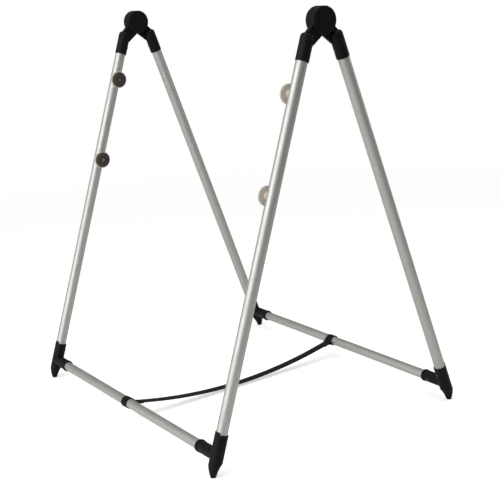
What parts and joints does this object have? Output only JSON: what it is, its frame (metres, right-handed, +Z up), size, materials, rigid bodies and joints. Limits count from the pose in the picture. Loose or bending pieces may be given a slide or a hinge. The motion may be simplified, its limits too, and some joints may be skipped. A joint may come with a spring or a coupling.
{
  "type": "folding sawhorse",
  "caption": "Folding stand of aluminium tube: two hinged A-frames joined by low crossbars, with moulded heads and feet, a limiter strap and side bumpers.",
  "frame": {"origin": "on the floor, in the middle of the four feet", "axes": "+Z up, +X along the crossbars and the hinge line, +Y from the front frame to the rear frame; the front frame carries the bumpers"},
  "size_m": [0.7278, 0.584, 0.809],
  "materials": {
    "tube": "drawn tube, satin clear anodised",
    "moulding": "black glass-filled nylon, fine moulded grain",
    "bumper_disc": "warm grey moulded plastic",
    "bumper_pad": "dark brown moulded rubber",
    "webbing": "black woven polypropylene webbing",
    "black_rivet": "black coated aluminium blind rivet",
    "fastener": "zinc plated steel"
  },
  "bodies": {
    "front_frame": {"front_left_leg": "tube", "front_right_leg": "tube", "front_bar": "tube", "front_left_foot": "moulding", "front_right_foot": "moulding", "front_left_arm": "moulding", "front_right_arm": "moulding", "front_left_cap": "moulding", "front_right_cap": "moulding", "left_upper_bumper_disc": "bumper_disc", "left_lower_bumper_disc": "bumper_disc", "right_upper_bumper_disc": "bumper_disc", "right_lower_bumper_disc": "bumper_disc", "left_upper_bumper_pad": "bumper_pad", "left_lower_bumper_pad": "bumper_pad", "right_upper_bumper_pad": "bumper_pad", "right_lower_bumper_pad": "bumper_pad", "bumper_screws": "fastener", "front_rivets": "black_rivet", "hinge_bolts": "fastener", "hinge_nuts": "fastener", "hinge_washers": "fastener", "front_strap_loop": "webbing", "limiter_strap": "webbing"},
    "rear_frame": {"rear_left_leg": "tube", "rear_right_leg": "tube", "rear_bar": "tube", "rear_left_foot": "moulding", "rear_right_foot": "moulding", "rear_left_arm": "moulding", "rear_right_arm": "moulding", "rear_left_cap": "moulding", "rear_right_cap": "moulding", "rear_rivets": "black_rivet", "rear_strap_loop": "webbing"}
  },
  "joints": [
    {"name": "fold", "type": "hinge", "parent": "front_frame", "child": "rear_frame", "pos_m": [0, 0, 0.784], "axis": [-1, 0, 0], "range_deg": [0, 37.2], "deforming": ["limiter_strap"]}
  ]
}
